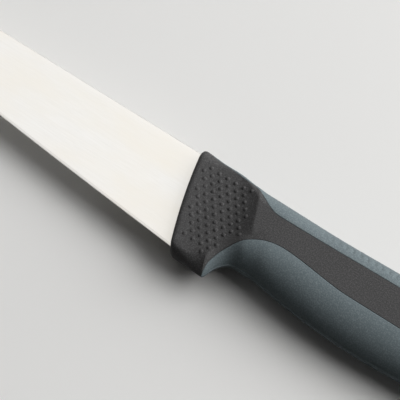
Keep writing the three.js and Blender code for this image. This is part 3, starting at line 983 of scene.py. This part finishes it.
@dataclass
class Nubs:
    """The field of round nubs on each thumb panel."""

    form: HandleForm
    first_x: float = 5.53
    first_depth: float = 6.6
    pitch: float = 3.0
    row: float = 2.04
    shift: float = 1.65
    diameter: float = 1.34
    height: Curve = Curve(((14, 0.32, 0), (30, 0.5, 0)))
    from_front: float = 3.1
    from_rear: float = 2.9
    from_spine: float = 4.5
    from_foot: float = 4.8
    from_grip: float = 2.3
    search_rounds: int = 40
    search_pace: float = 0.5
    first_turn: float = 1.5
    turn_limits: tuple[float, float] = (0.3, 2.7)
    segments: int = 20
    profile: tuple[tuple[float, float], ...] = (
        (1.35, -0.5), (1.35, -0.06), (1.2, 0.0), (1.06, 0.07), (0.95, 0.2), (0.84, 0.42), (0.7, 0.64),
        (0.52, 0.83), (0.3, 0.95), (0.12, 0.995),
    )

    def sections_through(self, x: Array, y: Array) -> tuple[Array, Array]:
        """Feet and turns of places of the side face.

        Args:
            x: Places along the knife.
            y: Places towards the spine.

        Returns:
            The feet and the turns, found step by step.
        """
        form = self.form
        foot, turn = x.copy(), np.full(x.shape, self.first_turn)
        for _ in range(self.search_rounds):
            place = form.point(foot, turn)
            foot = foot + (x - place[:, 0]) * self.search_pace
            fall = form.point(foot, turn + NEAR)[:, 1] - form.point(foot, turn - NEAR)[:, 1]
            step = (y - place[:, 1]) / fall * (2 * NEAR * self.search_pace)
            turn = np.clip(turn + step, *self.turn_limits)
        return foot, turn

    def places(self) -> list[tuple[float, float]]:
        """Lays the nubs of one panel in staggered rows.

        Returns:
            The foot and the turn of each nub.
        """
        form = self.form
        rows = np.arange(-1, math.ceil(form.guard_depth / self.row))
        columns = np.arange(math.ceil(form.panel_rear / self.pitch))
        row, column = [grid.ravel() for grid in np.meshgrid(rows, columns, indexing="ij")]
        y = -self.first_depth - row * self.row
        x = np.fmod(self.first_x + row * self.shift, self.pitch) + column * self.pitch
        foot, turn = self.sections_through(x, y)
        over = np.hypot(
            (x - form.grip_arc_x) / (form.grip_arc_reach + self.from_grip),
            (y + form.grip_arc_depth) / (form.grip_arc_rise + self.from_grip),
        )
        top = form.spine(foot - form.slant(foot))
        in_length = (foot > form.front_slant + self.from_front) & (foot < form.panel_rear - self.from_rear)
        in_depth = (y < top - self.from_spine) & (y > form.belly(foot) + self.from_foot)
        kept = in_length & in_depth & (over > 1)
        return list(zip(foot[kept].tolist(), turn[kept].tolist()))

    def dome(self, foot: float, turn: float, side: float) -> Array:
        """Vertices of one nub: a filleted dome with its root in the panel.

        Args:
            foot: Foot of its section.
            turn: Turn on that section.
            side: 1 for the upper panel, -1 for the lower one.

        Returns:
            Rings from the root to the crown, with a point at each end.
        """
        centre = self.form.point(foot, turn)
        normal = self.form.normal(np.array(foot), np.array(turn))
        towards_spine = np.array([0.0, 1.0, 0.0])
        first = np.cross(towards_spine, normal)
        first /= np.linalg.norm(first)
        second = np.cross(normal, first)
        angles = np.linspace(0, 2 * math.pi, self.segments, endpoint=False)
        round_way = np.cos(angles)[:, None] * first + np.sin(angles)[:, None] * second
        height = float(self.height(foot))
        rings = [centre + round_way * r * self.diameter / 2 + normal * h * height for r, h in self.profile]
        root = centre + normal * self.profile[0][1] * height
        crown = centre + normal * height
        return np.concatenate([*rings, [root], [crown]]) * np.array([1.0, 1.0, side])

    def build(self, start: int) -> tuple[Array, list[Face]]:
        """Builds the nubs of both panels.

        Args:
            start: Number of their first vertex.

        Returns:
            Vertices and faces.
        """
        vertices, faces = [], []
        rows, columns = len(self.profile), self.segments
        for foot, turn in self.places():
            for side in (1.0, -1.0):
                vertices.append(self.dome(foot, turn, side))
                faces += ring_faces(rows, columns, start)
                top = start + (rows - 1) * columns
                root = start + rows * columns
                crown = root + 1
                for i in range(columns):
                    after = (i + 1) % columns
                    faces.append((start + after, start + i, root))
                    faces.append((top + i, top + after, crown))
                start = crown + 1
        log.info("thumb nubs: %d on each panel", len(vertices) // 2)
        return np.concatenate(vertices), faces


@dataclass
class HandleCore(SubAssembly):
    """The hard core: nose, guard, nubbed thumb panels, side inlays and butt, with channels for the grips."""

    form: HandleForm
    gap: float = 0.09
    edge_round: float = 0.12
    edge_round_share: float = 0.4
    channel_depth: float = 1.2
    channel_depth_share: float = 0.8
    floor_points: int = 5
    wall_points: int = 2
    round_points: int = 5
    skin_points: int = 76
    slot_clear: float = 0.12
    slot_depth: float = 1.5
    slot_share: float = 0.9
    front_rings: int = 7
    butt_rings: int = 26
    # Spacing of the sections: where a run starts or ends, and its step
    strip_lead: float = 0.3
    strip_run: float = 1.8
    tip_lead: float = 0.5
    tip_run: float = 3.6
    rim_run: float = 2.0
    middle_end: float = 50.0
    rear_end: float = 98.0
    grips_end_from: float = 112.0
    grips_end_to: float = 118.6
    step_front: float = 0.45
    step_fine: float = 0.1
    step_wall: float = 0.3
    step_middle: float = 0.55
    step_rear: float = 1.1
    step_slow: float = 0.5
    step_ends: float = 0.15
    step_butt: float = 0.6

    def channel(self, width: float, spread: float) -> tuple[Array, Array]:
        """Half of a channel: its floor, its wall and its rounded edge.

        Args:
            width: Way from the middle of the channel to the grip's line.
            spread: Spread of that line.

        Returns:
            Ways from the middle, and how far each place is sunk.
        """
        edge = width + min(self.gap * spread, width)
        depth = min(self.channel_depth, self.channel_depth_share * width)
        radius = min(self.edge_round, self.edge_round_share * width)
        turns = np.linspace(0, QUARTER, self.round_points)
        floor = np.linspace(0, edge, self.floor_points)
        wall = np.linspace(depth, radius, self.wall_points + 1)[1:-1]
        bend = edge + radius * spread * (1 - np.cos(turns))
        ways = np.concatenate([floor, np.full(wall.shape, edge), bend])
        drops = np.concatenate([np.full(floor.shape, depth), wall, radius * (1 - np.sin(turns))])
        return ways, drops

    def half_profile(self, foot: float, strip: tuple[float, float], grip: tuple[float, float]) -> Array:
        """One half of a section with its channels.

        Args:
            foot: The section's foot.
            strip: Turn of the spine strip's line and its spread.
            grip: Turn of the belly grip's line and its spread.

        Returns:
            Places from the spine to the foot.
        """
        section = Section(self.form, foot)
        above, above_drop = self.channel(section.way_of(strip[0]), strip[1])
        below, below_drop = self.channel(section.whole - section.way_of(grip[0]), grip[1])
        skin = np.linspace(above[-1], section.whole - below[-1], self.skin_points + 2)[1:-1]
        way = np.concatenate([above, skin, section.whole - below[::-1]])
        drop = np.concatenate([above_drop, np.zeros(skin.shape), below_drop[::-1]])
        return section.places(way, drop)

    def plain_profile(self, foot: float, inset: float, closing: float) -> Array:
        """One half of a section without channels, shrunk or closed.

        Args:
            foot: The section's foot.
            inset: How far it is shrunk.
            closing: Share of the thickness that is left.

        Returns:
            Places from the spine to the foot, as many as with channels.
        """
        section = Section(self.form, foot, inset, closing)
        ends = self.floor_points + self.wall_points - 1 + self.round_points
        skin = np.linspace(0, section.whole, self.skin_points + 2)[1:-1]
        return section.on_skin(np.concatenate([np.zeros(ends), skin, np.full(ends, section.whole)]))

    def feet(self) -> Array:
        """Spaces the sections between the rounded front edge and the butt, closest where the form turns.

        Returns:
            Their feet.
        """
        form = self.form
        strip, tip = form.foot_of_top(form.strip_front), form.guard_tip
        runs = (
            (strip - self.strip_lead, self.step_front),
            (strip + self.strip_run, self.step_fine),
            (tip - self.tip_lead, self.step_front),
            (tip + self.tip_run, self.step_fine),
            (form.panel_rear + self.rim_run, self.step_wall),
            (self.middle_end, self.step_middle),
            (self.rear_end, self.step_rear),
            (self.grips_end_from, self.step_slow),
            (self.grips_end_to, self.step_ends),
            (form.butt_from, self.step_butt),
        )
        return np.append(graded(form.front_slant + form.front_round, runs), form.butt_from)

    def slot(self, front: Array, blade: Blade) -> list[Array]:
        """Half rings of the front face, from the floor of the blade's slot out to its rim.

        Args:
            front: The half ring of the front edge.
            blade: The blade that comes out of the slot.

        Returns:
            Floor, wall and rim of the slot.
        """
        top_y = self.slot_clear
        foot_y = -blade.heel_depth - self.slot_clear
        inside = np.clip(front[:, 1], foot_y, top_y)
        x = np.interp(-inside, -front[:, 1], front[:, 0])
        share = -inside / blade.heel_depth
        half = blade.spine_thickness / 2 * (1 - share) + blade.edge_thickness / 2 * share + self.slot_clear
        half = np.where((front[:, 1] > top_y) | (front[:, 1] < foot_y), 0.0, half)
        half = np.minimum(half, np.abs(front[:, 2]) * self.slot_share)
        rim = np.stack([x, inside, half], -1)
        floor = rim + np.array([self.slot_depth, 0.0, 0.0])
        middle = floor * np.array([1.0, 1.0, 0.0])
        return [middle, floor, rim]

    def build(self, material: bpy.types.Material, blade: Blade) -> bpy.types.Object:
        """Builds the core.

        Args:
            material: The hard plastic.
            blade: The blade, for the slot in the front.

        Returns:
            The finished piece.
        """
        form = self.form
        feet = self.feet()
        strip, grip = form.strip_turn(feet), form.grip_turn(feet)
        strip_spread, grip_spread = line_spread(form, feet, strip), line_spread(form, feet, grip)
        middle = [
            self.half_profile(foot, (strip[i], strip_spread[i]), (grip[i], grip_spread[i]))
            for i, foot in enumerate(feet)
        ]
        front = []
        for angle in np.linspace(0, QUARTER, self.front_rings)[:-1]:
            foot = form.front_slant + form.front_round * (1 - math.cos(angle))
            front.append(self.plain_profile(foot, form.front_round * (1 - math.sin(angle)), 1.0))
        butt = []
        for angle in np.linspace(0, QUARTER, self.butt_rings)[1:]:
            foot = form.butt_from + form.butt_run * math.sin(angle)
            butt.append(self.plain_profile(foot, 0.0, math.cos(angle)))
        rings = [mirrored(half) for half in (*self.slot(front[0], blade), *front, *middle, *butt)]
        vertices = np.concatenate(rings)
        faces = ring_faces(len(rings), len(rings[0]))
        nub_vertices, nub_faces = Nubs(form).build(len(vertices))
        piece = self.placer.make(
            "handle_core_moulding", np.concatenate([vertices, nub_vertices]), faces + nub_faces,
        )
        self.dress(piece, "handle_core", Slot.CORE, material)
        return piece


class SoftSide(Enum):
    """Which edge of the handle a soft grip lies on."""

    SPINE = "spine"
    BELLY = "belly"


@dataclass
class SoftGrip(SubAssembly):
    """A soft grip moulded round the spine or the belly of the core."""

    form: HandleForm
    side: SoftSide
    edge_round: float = 0.12
    edge_round_share: float = 0.35
    edge_share: float = 0.5
    depth: float = 1.0
    depth_share: float = 0.6
    seam_height: float = 0.31
    seam_growth: float = 7.0
    seam_places: tuple[float, ...] = (0.0, 0.11, 0.22, 0.34, 0.48)
    seam_levels: tuple[float, ...] = (1.0, 0.85, 0.35, 0.05, 0.0)
    skin_points: int = 44
    round_points: int = 5
    floor_points: int = 5
    # Row of slanted dashes beside the spine
    dash_from: float = 38.0
    dash_to: float = 112.0
    dash_growth: float = 22.0
    dash_fade: float = 4.0
    dash_pitch: float = 2.55
    dash_depth: float = 3.9
    dash_length: float = 2.1
    dash_width: float = 0.95
    dash_slant: float = 0.35
    dash_sink: float = 0.16
    dash_side_run: float = 0.4
    dash_end_run: float = 0.5
    # Spacing of the sections
    front_run: float = 3.4
    notch_end: float = 46.0
    rear_run: float = 5.0
    end_clear: float = 0.002
    end_turn: float = 0.004
    step_front: float = 0.1
    step_notch: float = 0.4
    step_middle: float = 0.8
    step_rear: float = 0.12

    def half_ring(self, foot: float, turn: float, spread: float) -> Array:
        """One half of the grip's cross-section, from the outer middle over the edge to the inner middle.

        Args:
            foot: The section's foot.
            turn: Turn of the grip's line.
            spread: Spread of that line.

        Returns:
            The places of the half ring.
        """
        section = Section(self.form, foot)
        line = section.way_of(turn)
        width = line if self.side is SoftSide.SPINE else section.whole - line
        radius = min(self.edge_round, self.edge_round_share * width)
        depth = min(self.depth, self.depth_share * width)
        scale = min(1.0, width / self.seam_growth)
        bend = np.linspace(0, QUARTER, self.round_points)[::-1]
        reach = width - min(radius * spread, self.edge_share * width)
        seam = np.array(self.seam_places) * scale
        skin = np.linspace(seam[-1], reach, self.skin_points + 2)[1:-1]
        edge = reach + (width - reach) * np.cos(bend)
        floor = np.linspace(width, 0, self.floor_points)
        way = np.concatenate([seam, skin, edge, floor])
        drop = np.concatenate([
            -np.array(self.seam_levels) * self.seam_height * scale,
            self.relief(section, skin),
            radius * (1 - np.sin(bend)),
            np.full(floor.shape, depth),
        ])
        if self.side is SoftSide.BELLY:
            way = section.whole - way
        return section.places(way, drop)

    def relief(self, section: Section, way: Array) -> Array:
        """Row of slanted dashes on each side of the spine, growing towards the butt.

        Args:
            section: The section of the handle.
            way: Lengths along it from the grip's middle.

        Returns:
            How far the skin is sunk.
        """
        if self.side is SoftSide.BELLY:
            return np.zeros(way.shape)
        place = section.places(way, np.zeros(way.shape))
        x = place[:, 0]
        height = place[:, 1] - self.form.spine(x) + self.dash_depth
        phase = (x + self.dash_slant * height) / self.dash_pitch
        off = np.abs(phase - np.round(phase)) * self.dash_pitch
        past_side = off - self.dash_width / 2 + self.dash_side_run / 2
        past_end = np.abs(height) - self.dash_length / 2 + self.dash_end_run / 2
        across = 1 - ease(past_side / self.dash_side_run)
        along = 1 - ease(past_end / self.dash_end_run)
        grown = ease((x - self.dash_from) / self.dash_growth) * ease((self.dash_to - x) / self.dash_fade)
        return self.dash_sink * across * along * grown

    def feet(self) -> Array:
        """Spaces the sections, closest at both ends.

        Returns:
            Their feet.
        """
        form = self.form
        if self.side is SoftSide.SPINE:
            start, end = form.foot_of_top(form.strip_front), form.strip_end
        else:
            start, end = form.guard_tip, form.grip_end
        return graded(start + self.end_clear, (
            (start + self.front_run, self.step_front),
            (self.notch_end, self.step_notch),
            (end - self.rear_run, self.step_middle),
            (end - self.end_clear, self.step_rear),
        ))

    def build(self, name: str, node: str, material: bpy.types.Material) -> bpy.types.Object:
        """Builds the grip.

        Args:
            name: The piece's name.
            node: The solid that it stands for.
            material: The soft rubber.

        Returns:
            The finished piece.
        """
        form = self.form
        feet = self.feet()
        turns = form.strip_turn(feet) if self.side is SoftSide.SPINE else form.grip_turn(feet)
        width = turns if self.side is SoftSide.SPINE else FOOT_TURN - turns
        kept = width > self.end_turn
        feet, turns = feet[kept], turns[kept]
        spread = line_spread(form, feet, turns)
        rings = [mirrored(self.half_ring(foot, turns[i], spread[i])) for i, foot in enumerate(feet)]
        piece = self.placer.make(name, np.concatenate(rings), capped_faces(len(rings), len(rings[0])))
        self.dress(piece, node, Slot.GRIP, material)
        return piece


@dataclass
class Studio:
    """Floor, soft light and camera."""

    placer: Placer
    azimuth: float = 35.77
    elevation: float = 60.0
    pixels_per_mm: float = 3.3
    distance: float = 1.5
    aim: Triple = (8.491, -12.772, 0.0)
    sensor: float = 36.0
    floor_half: float = 3.0
    key_from: Triple = (-0.26, 0.4, 0.88)
    key_distance: float = 1.3
    key_size: float = 1.35
    key_power: float = 3.5
    side_from: Triple = (0.67, 0.55, 0.49)
    side_distance: float = 1.6
    side_size: float = 1.9
    side_power: float = 49.5
    fill: Colour = rgb(0.05, 0.05, 0.05)
    backdrop: Colour = rgb(0.82, 0.815, 0.8)

    def build_camera(self) -> None:
        """Sets the camera at the photograph's viewing angle."""
        azimuth, elevation = math.radians(self.azimuth), math.radians(self.elevation)
        back = Vector((
            math.sin(azimuth) * math.cos(elevation),
            -math.cos(azimuth) * math.cos(elevation),
            math.sin(elevation),
        ))
        data = bpy.data.cameras.new("camera")
        data.sensor_width = self.sensor
        data.lens = self.sensor * self.distance / (IMAGE_WIDTH / self.pixels_per_mm * MM)
        camera = bpy.data.objects.new("camera", data)
        aim = Vector(self.placer.to_frame(np.array(self.aim)))
        camera.location = aim + back * self.distance
        camera.rotation_mode = "QUATERNION"
        camera.rotation_quaternion = (-back).to_track_quat("-Z", "Y")
        bpy.context.scene.collection.objects.link(camera)
        bpy.context.scene.camera = camera

    def build_floor(self, material: bpy.types.Material) -> None:
        """Lays the floor under the knife.

        Args:
            material: The floor's finish.
        """
        half = self.floor_half
        mesh = bpy.data.meshes.new("floor")
        corners = [(-half, -half, 0.0), (half, -half, 0.0), (half, half, 0.0), (-half, half, 0.0)]
        mesh.from_pydata(corners, [], [(0, 1, 2, 3)])
        mesh.materials.append(material)
        floor = bpy.data.objects.new("floor", mesh)
        bpy.context.scene.collection.objects.link(floor)

    def hang(self, name: str, towards: Triple, distance: float, size: float, power: float) -> None:
        """Hangs a square soft light that faces the knife.

        Args:
            name: The light's name.
            towards: Direction from the knife to the light.
            distance: Distance of the light in metres.
            size: Length of its sides in metres.
            power: Its power in watts.
        """
        direction = Vector(towards).normalized()
        data = bpy.data.lights.new(name, "AREA")
        data.shape = "SQUARE"
        data.size = size
        data.energy = power
        light = bpy.data.objects.new(name, data)
        light.location = direction * distance
        light.rotation_mode = "QUATERNION"
        light.rotation_quaternion = direction.to_track_quat("Z", "Y")
        light.visible_camera = False
        bpy.context.scene.collection.objects.link(light)

    def build_light(self) -> None:
        """Hangs a soft light overhead and a larger, stronger one on the butt's side, and sets a low fill."""
        self.hang("overhead", self.key_from, self.key_distance, self.key_size, self.key_power)
        self.hang("side", self.side_from, self.side_distance, self.side_size, self.side_power)
        world = bpy.data.worlds.new("studio")
        world.use_nodes = True
        graph = Graph(world.node_tree)
        colour = graph.mix(graph.shown(), self.fill, self.backdrop)
        shader = graph.node("ShaderNodeBackground", {}, {"Color": colour}, "Background")
        graph.node("ShaderNodeOutputWorld", {}, {"Surface": shader})
        bpy.context.scene.world = world
        bpy.context.scene.view_settings.view_transform = "Standard"


def main() -> None:
    """Builds the knife and its studio."""
    logging.basicConfig(level=logging.INFO, format="%(name)s: %(message)s")
    steel = SatinSteel().make()
    plastic = CORE_FINISH.make()
    rubber = GRIP_FINISH.make()
    placer = Placer(Blade.length)
    butt_end = (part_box("handle_core")[1].x - placer.origin[0]) / MM
    form = HandleForm(butt_run=butt_end - HandleForm.butt_from)

    blade = Blade(placer)
    core = HandleCore(placer, form)
    belly = SoftGrip(placer, form, SoftSide.BELLY)
    spine = SoftGrip(placer, form, SoftSide.SPINE, seam_height=0.07, step_middle=0.28)
    made = [
        blade.build(steel),
        core.build(plastic, blade),
        belly.build("belly_grip_moulding", "belly_grip", rubber),
        spine.build("spine_strip_moulding", "spine_strip", rubber),
    ]
    for piece in made:
        log.info("built %s", piece.name)

    studio = Studio(placer)
    studio.build_floor(PaleFloor().make())
    studio.build_light()
    studio.build_camera()


if __name__ == "__main__":
    main()
